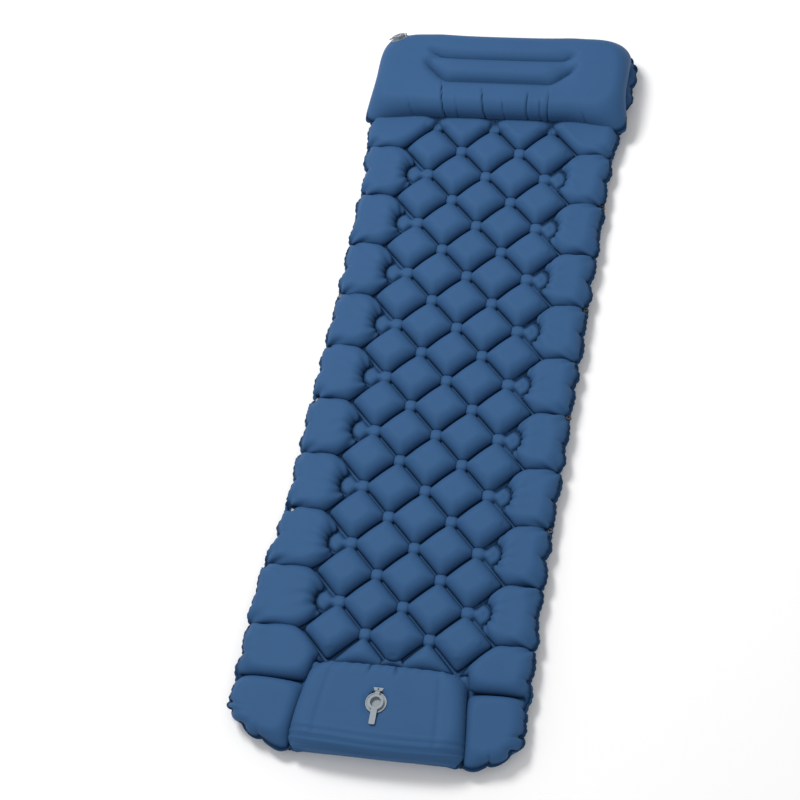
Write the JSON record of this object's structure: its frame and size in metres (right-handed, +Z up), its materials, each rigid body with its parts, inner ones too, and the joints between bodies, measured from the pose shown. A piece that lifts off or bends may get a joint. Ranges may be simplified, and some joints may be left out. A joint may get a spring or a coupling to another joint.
{
  "type": "air mattress",
  "caption": "Quilted inflatable camping mattress with a raised pillow at the head, a foot pump with a plug valve at the foot, and press studs along its edges.",
  "frame": {"origin": "on the ground, under the middle of the mattress", "axes": "+Y along the mattress to the pillow end, +X to the right of a person standing at the foot end, +Z up"},
  "size_m": [0.634, 1.89, 0.1088],
  "materials": {
    "coated_nylon": "satin",
    "valve_tpu": "satin",
    "membrane_silicone": "satin",
    "pump_foam": "matte",
    "snap_plastic": "gloss"
  },
  "bodies": {
    "mattress": {"bottom_sheet": "coated_nylon", "top_sheet": "coated_nylon", "edge_seam": "coated_nylon", "pillow_cover": "coated_nylon", "snap_stud_caps": "snap_plastic", "snap_studs": "snap_plastic", "snap_socket_caps": "snap_plastic", "snap_sockets": "snap_plastic", "pump_side_wall": "coated_nylon", "pump_foam_block": "pump_foam", "transfer_valve_body": "valve_tpu", "head_valve_base": "valve_tpu", "head_valve_strap": "valve_tpu"},
    "pump_top": {"pump_top_panel": "coated_nylon", "inlet_valve_base": "valve_tpu", "inlet_strap": "valve_tpu"},
    "inlet_plug": {"inlet_plug_cap": "valve_tpu"},
    "inlet_membrane_disc": {"inlet_membrane": "membrane_silicone"},
    "transfer_flap": {"transfer_valve_flap": "membrane_silicone"},
    "deflate_plug": {"head_deflate_plug": "valve_tpu"},
    "head_membrane_disc": {"head_membrane": "membrane_silicone"},
    "inflate_cap": {"head_inflate_cap": "valve_tpu"}
  },
  "joints": [
    {"name": "pump_press", "type": "slide", "parent": "mattress", "child": "pump_top", "axis": [0, 0, -1], "range_m": [0, 0.038], "stiffness_N_per_m": 800, "deforming": ["pump_foam_block", "pump_side_wall"]},
    {"name": "inlet_plug_hinge", "type": "hinge", "parent": "pump_top", "child": "inlet_plug", "pos_m": [-0.007, -0.8154, 0.0837], "axis": [-1, 0, 0], "range_deg": [0, 150]},
    {"name": "inlet_membrane_lift", "type": "slide", "parent": "pump_top", "child": "inlet_membrane_disc", "axis": [0, 0, -1], "range_m": [0, 0.0015], "stiffness_N_per_m": 20},
    {"name": "transfer_flap_swing", "type": "hinge", "parent": "mattress", "child": "transfer_flap", "pos_m": [0, -0.7384, 0.0301], "axis": [1, 0, 0], "range_deg": [0, 40]},
    {"name": "deflate_plug_hinge", "type": "hinge", "parent": "mattress", "child": "deflate_plug", "pos_m": [-0.25604, 0.92399, 0.09347], "axis": [-0.3733, 0.6845, -0.6262], "range_deg": [0, 120]},
    {"name": "head_membrane_lift", "type": "slide", "parent": "deflate_plug", "child": "head_membrane_disc", "axis": [0.2999, -0.5498, -0.7796], "range_m": [0, 0.0015], "stiffness_N_per_m": 20},
    {"name": "inflate_cap_hinge", "type": "hinge", "parent": "deflate_plug", "child": "inflate_cap", "pos_m": [-0.28552, 0.90934, 0.09503], "axis": [0.3733, -0.6845, 0.6262], "range_deg": [0, 150]}
  ]
}
